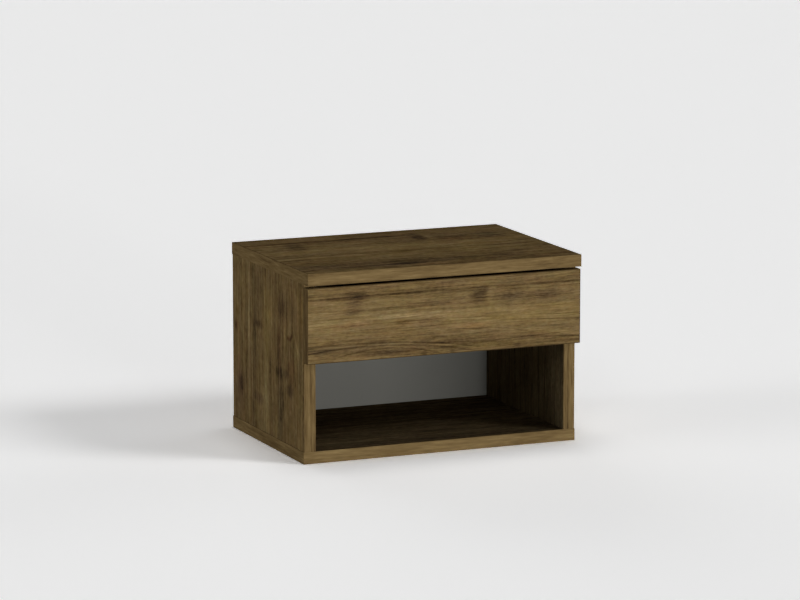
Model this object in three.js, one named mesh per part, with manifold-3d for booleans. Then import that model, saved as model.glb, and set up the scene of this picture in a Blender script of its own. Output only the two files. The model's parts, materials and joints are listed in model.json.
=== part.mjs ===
// A wall-hung bedside table: one drawer on ball-bearing slides over an open shelf.
// Lengths are millimetres, +Z is up, the drawer faces -Y, and the origin is under the middle of the base.
import * as THREE from 'three'
import { mergeVertices } from 'three/addons/utils/BufferGeometryUtils.js'
import Module from 'manifold-3d'

const wasm = await Module()
wasm.setup()

// Cabinet
const cabinetWidth = 434
const cabinetDepth = 305
const cabinetHeight = 283
const boardThickness = 18
const bandThickness = 1
const sideSetback = 1
const fitClearance = 0.3

// Back panel and hanging rail
const backThickness = 3
const backInset = 6
const grooveDepth = 8
const railHeight = 80
const wallHoleRadius = 3
const wallHoleShare = 0.65

// Drawer
const drawerFrontHeight = 111
const drawerFrontThickness = 15
const gapOverFront = 4
const gapBehindFront = 1
const gripLip = 20
const spaceOverBox = 15
const boxBoard = 12
const bottomThickness = 3
const bottomRaise = 8
const boxGrooveDepth = 6

// Ball-bearing slide
const slideStep = 50
const slideThickness = 12.7
const slideHalfHeight = 22.5
const slideSetback = 2
const slideSteel = 1.2
const slideLip = 1.4
const slideTipGap = 0.2
const cabinetTipDrop = 3.2
const drawerMemberSteel = 1
const drawerMemberLip = 0.8
const stopTabHalf = 7
const stopGap = 1.5
const accessHoleRadius = 5

// Ball cages of the slide
const cageSteel = 0.7
const outerCageGap = 0.85
const innerCageGap = 0.45
const cageEndGap = 7.5
const cageMargin = 0.4
const outerBallRadius = 1.95
const innerBallRadius = 1.7
const ballGap = 0.1
const ballMargin = 6
const ballsPerRow = 5

// Release lever of the slide
const leverArm = 34
const leverTail = 22
const leverHalf = 2.2
const leverHub = 4.8
const leverPad = 3.4
const leverHook = 5
const leverHookLength = 4
const rivetRadius = 2
const rivetHeadRadius = 3.2
const rivetHeadHeight = 0.7

// Cam fitting: a bolt screwed into one board is pulled by a cam let into the other
const fixingInset = 50
const camRadius = 7.5
const camReach = 24
const camSlotHalf = 3.5
const camSlotWidth = 1.4
const camSlotDepth = 1.4
const boltShankRadius = 3.5
const boltHeadLength = 2.4
const boltNeckLength = 3.4
const boltThreadRadius = 2.8
const boltThreadLength = 11
const boltNeckShare = 0.6
const boltHeadShare = 0.9
const drawerCamShare = 0.25

// Screws, each measured back from the top of its head
const baseScrew = {
  length: 50, head: 5, headDepth: 1, coneDepth: 3.4, shank: 3.5, shankDepth: 14,
  thread: 3, tip: 1.4, tipLength: 4, recess: 2.3, recessDepth: 2.6, sunk: true
}
const boxScrew = {
  length: 38, head: 3.8, headDepth: 0.6, coneDepth: 3, shank: 2.5, shankDepth: 11,
  thread: 2.2, tip: 0.8, tipLength: 3, recess: 1.8, recessDepth: 2, sunk: true
}
const cabinetSlideScrew = {
  length: 15, head: 3.7, headDepth: 0.3, coneDepth: 2.5, shank: 1.8, shankDepth: 4,
  thread: 1.6, tip: 0.4, tipLength: 3, recess: 1.7, recessDepth: 1, sunk: true
}
const drawerSlideScrew = {
  length: 13, head: 3.4, headDepth: 2, coneDepth: 2, shank: 1.8, shankDepth: 4,
  thread: 1.6, tip: 0.4, tipLength: 3, recess: 1.7, recessDepth: 1, sunk: false
}
const boxScrewInset = 11
const cabinetScrewShares = [0.14, 0.78]
const drawerScrewShares = [0.168, 0.808]

// How finely round pieces are faceted, and how far a cutter runs past a face
const fineSides = 16
const sides = 10
const ballSides = 6
const ballRings = 4
const cutOverrun = 2
const weldDistance = 0.0001

// Places worked out from the sizes
const front = -cabinetDepth / 2
const rear = cabinetDepth / 2
const frontBack = front + boardThickness
const carcassFront = frontBack + gapBehindFront
const halfWidth = cabinetWidth / 2
const sideOuter = halfWidth - sideSetback
const sideInner = sideOuter - boardThickness
const sideMiddle = (sideOuter + sideInner) / 2
const topUnder = cabinetHeight - boardThickness
const frontFixing = carcassFront + fixingInset
const rearFixing = rear - fixingInset

const backRear = rear - backInset
const backFront = backRear - backThickness
const railFront = backFront - boardThickness
const railMiddle = (backFront + railFront) / 2
const railCentre = topUnder - railHeight / 2

const frontFace = frontBack - drawerFrontThickness
const frontTop = topUnder - gapOverFront
const frontBottom = frontTop - drawerFrontHeight
const boxLow = frontBottom + gripLip
const boxHigh = topUnder - spaceOverBox
const boxOuter = sideInner - slideThickness - fitClearance
const boxInner = boxOuter - boxBoard
const slideHeight = (boxLow + boxHigh) / 2
const slideFront = carcassFront + slideSetback
const slideLength = Math.floor((railFront - slideFront) / slideStep) * slideStep
const runnerEnd = slideFront + slideLength - slideSteel - stopGap
const boxRear = frontBack + slideLength
const bottomLow = boxLow + bottomRaise + fitClearance
const bottomHigh = bottomLow + bottomThickness
const boxBackLow = bottomHigh + fitClearance
const boxBackMiddle = boxRear - boxBoard / 2
const drawerCamHeight = slideHeight + (boxHigh - boxLow) * drawerCamShare

const slideFace = -sideInner
const cabinetTip = slideFace + slideThickness - cabinetTipDrop
const outerCageWeb = slideFace + slideSteel + outerCageGap
const intermediateWeb = outerCageWeb + cageSteel + outerCageGap
const innerCageWeb = intermediateWeb + slideSteel + innerCageGap
const drawerMemberTip = innerCageWeb + cageSteel + innerCageGap
const drawerMemberWeb = slideFace + slideThickness
const drawerMemberFace = drawerMemberWeb - drawerMemberSteel
const intermediateTip = drawerMemberFace - slideTipGap
const outerBallHeight = slideHalfHeight - slideSteel - ballGap - outerBallRadius
const intermediateHalf = outerBallHeight - outerBallRadius - ballGap
const innerBallHeight = intermediateHalf - slideSteel - ballGap - innerBallRadius
const drawerMemberHalf = innerBallHeight - innerBallRadius - ballGap
const cageStart = slideFront + slideLength / 4 + cageEndGap
const cageEnd = cageStart + slideLength / 2 - cageEndGap * 2
const leverNear = drawerMemberTip + rivetHeadHeight + fitClearance
const leverFar = drawerMemberFace - fitClearance
const leverPivot = slideFront + slideLength / 2

const finishes = {
  walnut: { color: 0x6b573a, roughness: 0.55, metalness: 0 },
  walnutBand: { color: 0x74603f, roughness: 0.5, metalness: 0 },
  greyHardboard: { color: 0x8c8c86, roughness: 0.6, metalness: 0 },
  paleBoard: { color: 0xc9c7c0, roughness: 0.5, metalness: 0 },
  zincSteel: { color: 0xb4b6b8, roughness: 0.35, metalness: 0.9 },
  castZinc: { color: 0x9b9c9d, roughness: 0.45, metalness: 0.8 },
  blackPlastic: { color: 0x1a1a1b, roughness: 0.5, metalness: 0 }
}

// A geometry with its shared corners merged and without the slivers that a lathe leaves on its axis
function welded(geometry) {
  const bare = geometry.clone()
  bare.deleteAttribute('normal')
  bare.deleteAttribute('uv')
  const merged = mergeVertices(bare, weldDistance)
  const corners = merged.index.array
  const kept = []
  for (let i = 0; i < corners.length; i += 3) {
    const [a, b, c] = corners.slice(i, i + 3)
    if (a !== b && b !== c && c !== a) {
      kept.push(a, b, c)
    }
  }
  merged.setIndex(kept)
  return merged
}

function solidOf(geometry) {
  const closed = welded(geometry)
  const mesh = new wasm.Mesh({
    numProp: 3,
    vertProperties: closed.attributes.position.array,
    triVerts: new Uint32Array(closed.index.array)
  })
  return new wasm.Manifold(mesh)
}

function geometryOf(solid) {
  const mesh = solid.getMesh()
  const geometry = new THREE.BufferGeometry()
  geometry.setAttribute('position', new THREE.BufferAttribute(mesh.vertProperties, mesh.numProp))
  geometry.setIndex(new THREE.BufferAttribute(mesh.triVerts, 1))
  return geometry
}

function cut(body, cutters) {
  let solid = solidOf(body)
  for (const cutter of cutters) {
    solid = solid.subtract(solidOf(cutter))
  }
  return geometryOf(solid)
}

function joined(pieces) {
  let solid = solidOf(pieces[0])
  for (const piece of pieces.slice(1)) {
    solid = solid.add(solidOf(piece))
  }
  return geometryOf(solid)
}

// A box between two corners, whose faces lie exactly where the corners say
function block(low, high) {
  const geometry = new THREE.BoxGeometry(1, 1, 1)
  const place = geometry.attributes.position
  for (let i = 0; i < place.count; i++) {
    const corner = low.map((value, axis) => (place.getComponent(i, axis) > 0 ? high[axis] : value))
    place.setXYZ(i, ...corner)
  }
  return geometry
}

function shapeOf(outline) {
  return new THREE.Shape(outline.map(([x, y]) => new THREE.Vector2(x, y)))
}

// An outline in X and Y that stands between two heights
function slab(shape, low, high) {
  const geometry = new THREE.ExtrudeGeometry(shape, { depth: 1, bevelEnabled: false })
  const place = geometry.attributes.position
  for (let i = 0; i < place.count; i++) {
    place.setZ(i, place.getZ(i) > 0 ? high : low)
  }
  return geometry
}

// An outline in X and Z that runs from one place along Y to another
function run(shape, near, far) {
  return slab(shape, -far, -near).rotateX(Math.PI / 2)
}

// A profile of radius and height turned about Z
function turned(profile, count) {
  const points = profile.map(([radius, height]) => new THREE.Vector2(radius, height))
  return new THREE.LatheGeometry(points, count).rotateX(Math.PI / 2)
}

function rod(radius, low, high, count) {
  return turned([[0, low], [radius, low], [radius, high], [0, high]], count)
}

function mirrored(geometry) {
  const copy = welded(geometry)
  const corners = copy.index.array
  const turnedOver = []
  for (let i = 0; i < corners.length; i += 3) {
    turnedOver.push(corners[i], corners[i + 2], corners[i + 1])
  }
  copy.scale(-1, 1, 1)
  copy.setIndex(turnedOver)
  return copy
}

// A spot is where a fitting sits: at its origin, out along its own Z, and toward along its own Y
function frameOf(spot) {
  const out = new THREE.Vector3(...spot.out)
  const toward = new THREE.Vector3(...spot.toward)
  const across = new THREE.Vector3().crossVectors(toward, out)
  return new THREE.Matrix4().makeBasis(across, toward, out).setPosition(...spot.at)
}

function mirroredSpot(spot) {
  const flip = ([x, y, z]) => [-x, y, z]
  return { at: flip(spot.at), out: flip(spot.out), toward: flip(spot.toward) }
}

function bothSides(spots) {
  return spots.flatMap(spot => [spot, mirroredSpot(spot)])
}

function placedAt(geometry, spots) {
  return spots.map(spot => geometry.clone().applyMatrix4(frameOf(spot)))
}

// Screw, head up at its origin, with a cross recess
function screw(size) {
  const body = turned([
    [0, -size.length],
    [size.tip, -size.length],
    [size.thread, size.tipLength - size.length],
    [size.thread, -size.shankDepth],
    [size.shank, -size.shankDepth],
    [size.shank, -size.coneDepth],
    [size.head, -size.headDepth],
    [size.head, 0],
    [0, 0]
  ], sides)
  return cut(body, crossSlot(size.recess, size.recess / 2, size.recessDepth))
}

function crossSlot(reach, width, depth) {
  const half = width / 2
  return [
    block([-reach, -half, -depth], [reach, half, cutOverrun]),
    block([-half, -reach, -depth], [half, reach, cutOverrun])
  ]
}

// The hole for a screw, countersunk where its head is let in
function screwHole(size) {
  const mouth = size.sunk ? size.head : size.shank
  return turned([
    [0, -size.length - fitClearance],
    [size.thread + fitClearance, -size.length - fitClearance],
    [size.thread + fitClearance, -size.shankDepth - fitClearance],
    [size.shank + fitClearance, -size.shankDepth - fitClearance],
    [size.shank + fitClearance, -size.coneDepth - fitClearance],
    [mouth + fitClearance, -size.headDepth - fitClearance],
    [mouth + fitClearance, cutOverrun],
    [0, cutOverrun]
  ], sides)
}

// Cam bolt: the joint between its two boards is at its origin, and its thread points out
function camBolt() {
  const headTop = -camReach + boltHeadLength / 2
  const headEnd = headTop - boltHeadLength
  const neckTop = headTop + boltNeckLength
  const headRadius = boltShankRadius * boltHeadShare
  const neckRadius = boltShankRadius * boltNeckShare
  return turned([
    [0, headEnd],
    [headRadius, headEnd],
    [headRadius, headTop],
    [neckRadius, headTop],
    [neckRadius, neckTop],
    [boltShankRadius, neckTop],
    [boltShankRadius, -fitClearance],
    [boltThreadRadius, -fitClearance],
    [boltThreadRadius, boltThreadLength],
    [0, boltThreadLength]
  ], sides)
}

function boltShankHole() {
  return rod(boltShankRadius + fitClearance, -camReach, cutOverrun, sides)
}

function boltThreadHole() {
  return rod(boltThreadRadius + fitClearance, -cutOverrun, boltThreadLength + fitClearance, sides)
}

function camDepth(board) {
  return board / 2 + boltShankRadius
}

// Cam: its slotted face is at its origin, and the bolt reaches it along its own +Y
function cam(board) {
  const depth = camDepth(board)
  const pocketHalf = boltShankRadius + fitClearance
  const pocketLow = [-pocketHalf, -boltHeadLength / 2 - fitClearance, -depth - cutOverrun]
  const pocketHigh = [pocketHalf, camRadius + cutOverrun, pocketHalf - board / 2]
  const slot = crossSlot(camSlotHalf, camSlotWidth, camSlotDepth)
  return cut(rod(camRadius, -depth, 0, fineSides), [block(pocketLow, pocketHigh), ...slot])
}

function camHole(board) {
  return rod(camRadius + fitClearance, -camDepth(board) - fitClearance, cutOverrun, fineSides)
}

// Spots of the fittings on the left half
const topCamSpots = {
  front: { at: [-sideInner, frontFixing, topUnder - camReach], out: [1, 0, 0], toward: [0, 0, 1] },
  rear: { at: [-sideInner, rearFixing, topUnder - camReach], out: [1, 0, 0], toward: [0, 0, 1] }
}
const topBoltSpots = {
  front: { at: [-sideMiddle, frontFixing, topUnder], out: [0, 0, 1], toward: [1, 0, 0] },
  rear: { at: [-sideMiddle, rearFixing, topUnder], out: [0, 0, 1], toward: [1, 0, 0] }
}
const baseScrewSpots = {
  front: { at: [-sideMiddle, frontFixing, 0], out: [0, 0, -1], toward: [1, 0, 0] },
  rear: { at: [-sideMiddle, rearFixing, 0], out: [0, 0, -1], toward: [1, 0, 0] }
}
const railCamSpot = {
  at: [camReach - sideInner, railFront, railCentre], out: [0, -1, 0], toward: [-1, 0, 0]
}
const railBoltSpot = { at: [-sideInner, railMiddle, railCentre], out: [-1, 0, 0], toward: [0, 0, 1] }
const wallHoleSpot = {
  at: [-sideInner * wallHoleShare, railFront, railCentre], out: [0, -1, 0], toward: [0, 0, 1]
}
const drawerCamSpot = {
  at: [-boxInner, frontBack + camReach, drawerCamHeight], out: [1, 0, 0], toward: [0, -1, 0]
}
const drawerBoltSpot = {
  at: [boxBoard / 2 - boxOuter, frontBack, drawerCamHeight], out: [0, -1, 0], toward: [0, 0, 1]
}
const boxScrewSpots = {
  lower: { at: [-boxOuter, boxBackMiddle, boxBackLow + boxScrewInset], out: [-1, 0, 0], toward: [0, 0, 1] },
  upper: { at: [-boxOuter, boxBackMiddle, boxHigh - boxScrewInset], out: [-1, 0, 0], toward: [0, 0, 1] }
}
const cabinetSlideSpots = slideScrewSpots(cabinetScrewShares, slideFace + slideSteel, 1)
const drawerScrewHead = drawerMemberFace - fitClearance - drawerSlideScrew.headDepth
const drawerSlideSpots = slideScrewSpots(drawerScrewShares, drawerScrewHead, -1)

// Slide screws at shares of the slide's length; those of the drawer member point the other way
function slideScrewSpots(shares, headX, facing) {
  const [frontShare, rearShare] = shares
  const spot = share => ({
    at: [headX, slideFront + slideLength * share, slideHeight], out: [facing, 0, 0], toward: [0, 0, 1]
  })
  return { front: spot(frontShare), rear: spot(rearShare) }
}

function topPanel() {
  const body = block([bandThickness - halfWidth, front + bandThickness, topUnder],
    [halfWidth - bandThickness, rear, cabinetHeight])
  const boltHoles = placedAt(boltThreadHole(), bothSides(Object.values(topBoltSpots)))
  return cut(body, [backGroove(topUnder - cutOverrun, topUnder + grooveDepth), ...boltHoles])
}

function basePanel() {
  const body = block([bandThickness - halfWidth, carcassFront + bandThickness, 0],
    [halfWidth - bandThickness, rear, boardThickness])
  const screwHoles = placedAt(screwHole(baseScrew), bothSides(Object.values(baseScrewSpots)))
  return cut(body, [backGroove(boardThickness - grooveDepth, boardThickness + cutOverrun), ...screwHoles])
}

// Groove for the back panel, right along the top or the base
function backGroove(low, high) {
  const reach = halfWidth + cutOverrun
  return block([-reach, backFront - fitClearance, low], [reach, backRear + fitClearance, high])
}

function leftSidePanel() {
  const body = block([-sideOuter, carcassFront + bandThickness, boardThickness], [-sideInner, rear, topUnder])
  const groove = block(
    [-sideInner - grooveDepth, backFront - fitClearance, boardThickness - cutOverrun],
    [-sideInner + cutOverrun, backRear + fitClearance, topUnder + cutOverrun])
  return cut(body, [
    groove,
    ...placedAt(camHole(boardThickness), Object.values(topCamSpots)),
    ...placedAt(boltShankHole(), Object.values(topBoltSpots)),
    ...placedAt(screwHole(baseScrew), Object.values(baseScrewSpots)),
    ...placedAt(screwHole(cabinetSlideScrew), Object.values(cabinetSlideSpots)),
    ...placedAt(boltThreadHole(), [railBoltSpot])
  ])
}

function wallHoles() {
  const reach = backRear - railFront + cutOverrun
  return placedAt(rod(wallHoleRadius, -reach, cutOverrun, sides), bothSides([wallHoleSpot]))
}

function hangingRail() {
  const body = block([-sideInner, railFront, topUnder - railHeight], [sideInner, backFront, topUnder])
  return cut(body, [
    ...wallHoles(),
    ...placedAt(camHole(boardThickness), bothSides([railCamSpot])),
    ...placedAt(boltShankHole(), bothSides([railBoltSpot]))
  ])
}

function backPanel() {
  const reach = grooveDepth - fitClearance
  const body = block([-sideInner - reach, backFront, boardThickness - reach],
    [sideInner + reach, backRear, topUnder + reach])
  return cut(body, wallHoles())
}

// Band glued round the front and both ends of the top or the base
function threeSidedBand(bandFront, low, high) {
  const inner = halfWidth - bandThickness
  const outline = [
    [-halfWidth, bandFront], [halfWidth, bandFront], [halfWidth, rear], [inner, rear],
    [inner, bandFront + bandThickness], [-inner, bandFront + bandThickness], [-inner, rear],
    [-halfWidth, rear]
  ]
  return slab(shapeOf(outline), low, high)
}

function leftSideBand() {
  return block([-sideOuter, carcassFront, boardThickness],
    [-sideInner, carcassFront + bandThickness, topUnder])
}

function drawerFrontPanel() {
  const reach = halfWidth - bandThickness
  const body = block([-reach, frontFace, frontBottom + bandThickness],
    [reach, frontBack, frontTop - bandThickness])
  const grooveReach = boxInner + boxGrooveDepth
  const groove = block(
    [-grooveReach, frontBack - boxGrooveDepth, bottomLow - fitClearance],
    [grooveReach, frontBack + cutOverrun, bottomHigh + fitClearance])
  return cut(body, [groove, ...placedAt(boltThreadHole(), bothSides([drawerBoltSpot]))])
}

function drawerFrontBand() {
  const inner = halfWidth - bandThickness
  const low = frontBottom + bandThickness
  const high = frontTop - bandThickness
  const outline = shapeOf([
    [-halfWidth, frontBottom], [halfWidth, frontBottom], [halfWidth, frontTop], [-halfWidth, frontTop]
  ])
  outline.holes.push(shapeOf([[-inner, low], [-inner, high], [inner, high], [inner, low]]))
  return run(outline, frontFace, frontBack)
}

function leftDrawerSide() {
  const groove = block(
    [-boxInner - boxGrooveDepth, frontBack - cutOverrun, bottomLow - fitClearance],
    [-boxInner + cutOverrun, boxRear + cutOverrun, bottomHigh + fitClearance])
  return cut(block([-boxOuter, frontBack, boxLow], [-boxInner, boxRear, boxHigh]), [
    groove,
    ...placedAt(camHole(boxBoard), [drawerCamSpot]),
    ...placedAt(boltShankHole(), [drawerBoltSpot]),
    ...placedAt(screwHole(boxScrew), Object.values(boxScrewSpots)),
    ...placedAt(screwHole(drawerSlideScrew), Object.values(drawerSlideSpots))
  ])
}

function drawerBack() {
  const body = block([-boxInner, boxRear - boxBoard, boxBackLow], [boxInner, boxRear, boxHigh])
  return cut(body, placedAt(screwHole(boxScrew), bothSides(Object.values(boxScrewSpots))))
}

function drawerBottom() {
  const reach = boxInner + boxGrooveDepth - fitClearance
  return block([-reach, frontBack - boxGrooveDepth + fitClearance, bottomLow], [reach, boxRear, bottomHigh])
}

// Rolled steel channel of a slide: its web stands at one side and both flanges end in a lip
function channelOutline(webX, tipX, halfHeight, steel, lip) {
  const inward = Math.sign(tipX - webX) * steel
  const flangeInside = halfHeight - steel
  const upper = [
    [webX, halfHeight], [tipX, halfHeight], [tipX, flangeInside - lip],
    [tipX - inward, flangeInside - lip], [tipX - inward, flangeInside], [webX + inward, flangeInside]
  ]
  return aboutSlideHeight(upper)
}

function aboutSlideHeight(upper) {
  const lower = upper.map(([x, z]) => [x, -z]).reverse()
  return shapeOf([...upper, ...lower].map(([x, z]) => [x, z + slideHeight]))
}

function leftCabinetMember() {
  const outline = channelOutline(slideFace, cabinetTip, slideHalfHeight, slideSteel, slideLip)
  const slideEnd = slideFront + slideLength
  const stopTab = block([slideFace, slideEnd - slideSteel, slideHeight - stopTabHalf],
    [cabinetTip, slideEnd, slideHeight + stopTabHalf])
  const channel = joined([run(outline, slideFront, slideEnd), stopTab])
  return cut(channel, placedAt(screwHole(cabinetSlideScrew), Object.values(cabinetSlideSpots)))
}

function leftIntermediateMember() {
  const outline = channelOutline(intermediateWeb, intermediateTip, intermediateHalf, slideSteel, slideLip)
  const accessHole = rod(accessHoleRadius, -slideThickness, slideThickness, sides)
  return cut(run(outline, slideFront, runnerEnd), placedAt(accessHole, Object.values(cabinetSlideSpots)))
}

function leftDrawerMember() {
  const outline = channelOutline(
    drawerMemberWeb, drawerMemberTip, drawerMemberHalf, drawerMemberSteel, drawerMemberLip)
  const rivetSpot = { at: [0, leverPivot, slideHeight], out: [1, 0, 0], toward: [0, 0, 1] }
  const [shank] = placedAt(rod(rivetRadius, drawerMemberTip, drawerMemberWeb, sides), [rivetSpot])
  const rivetHeadEnd = drawerMemberTip + rivetHeadHeight
  const [head] = placedAt(rod(rivetHeadRadius, drawerMemberTip, rivetHeadEnd, sides), [rivetSpot])
  const holes = placedAt(screwHole(drawerSlideScrew), Object.values(drawerSlideSpots))
  return cut(joined([run(outline, slideFront, runnerEnd), shank, head]), holes)
}

// Ball cage: a thin U-shaped strip with a row of balls in each flange
function leftBallCage(webX, lipX, ballHeight, ballRadius) {
  const webInside = webX + cageSteel
  const ballX = (webInside + lipX) / 2
  const tipX = ballX + ballRadius + cageMargin
  const outside = ballHeight + cageSteel / 2
  const inside = ballHeight - cageSteel / 2
  const outline = aboutSlideHeight([[webX, outside], [tipX, outside], [tipX, inside], [webInside, inside]])
  const firstBall = cageStart + ballMargin
  const pitch = (cageEnd - ballMargin - firstBall) / (ballsPerRow - 1)
  const balls = []
  for (let i = 0; i < ballsPerRow; i++) {
    for (const height of [slideHeight - ballHeight, slideHeight + ballHeight]) {
      const ball = new THREE.SphereGeometry(ballRadius, ballSides, ballRings)
      balls.push(ball.translate(ballX, firstBall + pitch * i, height))
    }
  }
  return joined([run(outline, cageStart, cageEnd), ...balls])
}

// Release lever: an arm with a pad for the finger and a hooked tail, about a hub on the rivet
function leftReleaseLever() {
  const hubSpot = { at: [0, leverPivot, slideHeight], out: [1, 0, 0], toward: [0, 0, 1] }
  const padSpot = { ...hubSpot, at: [0, leverPivot + leverArm, slideHeight] }
  const tailEnd = leverPivot - leverTail
  const arm = block([leverNear, tailEnd, slideHeight - leverHalf],
    [leverFar, leverPivot + leverArm, slideHeight + leverHalf])
  const hook = block([leverNear, tailEnd, slideHeight - leverHook],
    [leverFar, tailEnd + leverHookLength, slideHeight])
  const hub = placedAt(rod(leverHub, leverNear, leverFar, sides), [hubSpot])
  const pad = placedAt(rod(leverPad, leverNear, leverFar, sides), [padSpot])
  const hole = rod(rivetRadius + fitClearance, leverNear - cutOverrun, leverFar + cutOverrun, sides)
  return cut(joined([arm, hook, ...hub, ...pad]), placedAt(hole, [hubSpot]))
}

// One named mesh, flat shaded, moved to its spot if it has one
function piece(group, name, geometry, finish, spot) {
  const faceted = welded(geometry).toNonIndexed()
  faceted.computeVertexNormals()
  const mesh = new THREE.Mesh(faceted, new THREE.MeshStandardMaterial(finishes[finish]))
  mesh.name = name
  if (spot) {
    mesh.applyMatrix4(frameOf(spot))
  }
  group.add(mesh)
}

function pair(group, name, leftGeometry, finish) {
  piece(group, `left_${name}`, leftGeometry, finish)
  piece(group, `right_${name}`, mirrored(leftGeometry), finish)
}

function fittingPair(group, name, geometry, finish, spot) {
  piece(group, `left_${name}`, geometry, finish, spot)
  piece(group, `right_${name}`, geometry, finish, mirroredSpot(spot))
}

function fittingPairs(group, name, geometry, finish, spots) {
  for (const [place, spot] of Object.entries(spots)) {
    fittingPair(group, `${name}_${place}`, geometry, finish, spot)
  }
}

function cabinet() {
  const group = new THREE.Group()
  piece(group, 'top_panel', topPanel(), 'walnut')
  piece(group, 'base_panel', basePanel(), 'walnut')
  pair(group, 'side_panel', leftSidePanel(), 'walnut')
  piece(group, 'back_panel', backPanel(), 'greyHardboard')
  piece(group, 'hanging_rail', hangingRail(), 'walnut')
  piece(group, 'top_edge_band', threeSidedBand(front, topUnder, cabinetHeight), 'walnutBand')
  piece(group, 'base_edge_band', threeSidedBand(carcassFront, 0, boardThickness), 'walnutBand')
  pair(group, 'side_edge_band', leftSideBand(), 'walnutBand')
  fittingPairs(group, 'top_cam', cam(boardThickness), 'castZinc', topCamSpots)
  fittingPairs(group, 'top_bolt', camBolt(), 'zincSteel', topBoltSpots)
  fittingPairs(group, 'base_screw', screw(baseScrew), 'zincSteel', baseScrewSpots)
  fittingPair(group, 'rail_cam', cam(boardThickness), 'castZinc', railCamSpot)
  fittingPair(group, 'rail_bolt', camBolt(), 'zincSteel', railBoltSpot)
  return group
}

function drawer() {
  const group = new THREE.Group()
  piece(group, 'drawer_front', drawerFrontPanel(), 'walnut')
  piece(group, 'drawer_front_edge_band', drawerFrontBand(), 'walnutBand')
  pair(group, 'drawer_side', leftDrawerSide(), 'paleBoard')
  piece(group, 'drawer_back', drawerBack(), 'paleBoard')
  piece(group, 'drawer_bottom', drawerBottom(), 'greyHardboard')
  fittingPair(group, 'drawer_cam', cam(boxBoard), 'castZinc', drawerCamSpot)
  fittingPair(group, 'drawer_bolt', camBolt(), 'zincSteel', drawerBoltSpot)
  fittingPairs(group, 'drawer_back_screw', screw(boxScrew), 'zincSteel', boxScrewSpots)
  return group
}

function slides() {
  const group = new THREE.Group()
  const outerCage = leftBallCage(outerCageWeb, cabinetTip - slideSteel, outerBallHeight, outerBallRadius)
  const innerCage = leftBallCage(innerCageWeb, intermediateTip - slideSteel, innerBallHeight, innerBallRadius)
  pair(group, 'cabinet_member', leftCabinetMember(), 'zincSteel')
  pair(group, 'outer_ball_cage', outerCage, 'zincSteel')
  pair(group, 'intermediate_member', leftIntermediateMember(), 'zincSteel')
  pair(group, 'inner_ball_cage', innerCage, 'zincSteel')
  pair(group, 'drawer_member', leftDrawerMember(), 'zincSteel')
  pair(group, 'release_lever', leftReleaseLever(), 'blackPlastic')
  fittingPairs(group, 'cabinet_member_screw', screw(cabinetSlideScrew), 'zincSteel', cabinetSlideSpots)
  fittingPairs(group, 'drawer_member_screw', screw(drawerSlideScrew), 'zincSteel', drawerSlideSpots)
  return group
}

const nightstand = new THREE.Group()
nightstand.add(cabinet(), drawer(), slides())
export default nightstand
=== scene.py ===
# Looks of the wall-hung bedside table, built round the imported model.
# Lengths are in metres, and in millimetres where mm is said.
import json
import math

import bpy
from mathutils import Matrix, Vector

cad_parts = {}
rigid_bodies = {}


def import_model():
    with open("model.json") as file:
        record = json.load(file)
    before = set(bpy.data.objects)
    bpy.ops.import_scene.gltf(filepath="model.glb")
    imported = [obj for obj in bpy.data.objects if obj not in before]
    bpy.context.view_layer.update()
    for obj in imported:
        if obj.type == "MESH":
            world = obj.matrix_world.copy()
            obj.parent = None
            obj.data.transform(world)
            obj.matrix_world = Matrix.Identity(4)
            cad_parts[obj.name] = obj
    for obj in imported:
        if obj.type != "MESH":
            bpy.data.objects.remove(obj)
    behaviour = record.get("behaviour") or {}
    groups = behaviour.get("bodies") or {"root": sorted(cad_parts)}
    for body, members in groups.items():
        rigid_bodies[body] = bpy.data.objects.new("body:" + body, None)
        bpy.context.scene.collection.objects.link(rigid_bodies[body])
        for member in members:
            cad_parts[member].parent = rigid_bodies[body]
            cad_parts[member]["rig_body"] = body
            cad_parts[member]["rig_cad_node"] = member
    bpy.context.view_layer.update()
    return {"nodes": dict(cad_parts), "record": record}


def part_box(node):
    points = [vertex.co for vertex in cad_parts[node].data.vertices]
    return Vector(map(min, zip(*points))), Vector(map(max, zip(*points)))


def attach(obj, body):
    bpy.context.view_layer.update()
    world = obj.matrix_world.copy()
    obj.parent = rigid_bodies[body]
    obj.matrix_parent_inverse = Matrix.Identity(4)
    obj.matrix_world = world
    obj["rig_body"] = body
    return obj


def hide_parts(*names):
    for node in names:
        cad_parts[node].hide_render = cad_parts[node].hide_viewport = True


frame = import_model()
mm = 0.001
nodes = frame["nodes"]
bodyOf = {node: body for body, members in frame["record"]["behaviour"]["bodies"].items() for node in members}
print("frame loaded:", len(nodes), "nodes")

# How meshes are worked on: what is merged, flattened, rounded and shaded smooth, what counts as touching or as
# level, and from which part of its normal on a face looks along an axis, or squarely so
meshwork = {
    "merge": 0.002 * mm,
    "flat": math.radians(0.5),
    "sharp": math.radians(30),
    "smooth": math.radians(32),
    "touching": 1e-6,
    "level": 0.01 * mm,
    "facing": 0.4,
    "square": 0.9,
}
# Widths of the broken edges, in mm
edgeWidths = {"board": 0.18, "drawerBox": 0.35, "thinBoard": 0.2, "slide": 0.25}


def leaveEdit():
    bpy.ops.object.mode_set(mode="OBJECT")


def deselectAll():
    if bpy.context.mode != "OBJECT":
        leaveEdit()
    bpy.ops.object.select_all(action="DESELECT")


def pick(piece):
    deselectAll()
    piece.select_set(True)
    bpy.context.view_layer.objects.active = piece


def edit(piece, kind="EDGE", action="DESELECT"):
    pick(piece)
    bpy.ops.object.mode_set(mode="EDIT")
    bpy.ops.mesh.select_mode(type=kind)
    bpy.ops.mesh.select_all(action=action)


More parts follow.
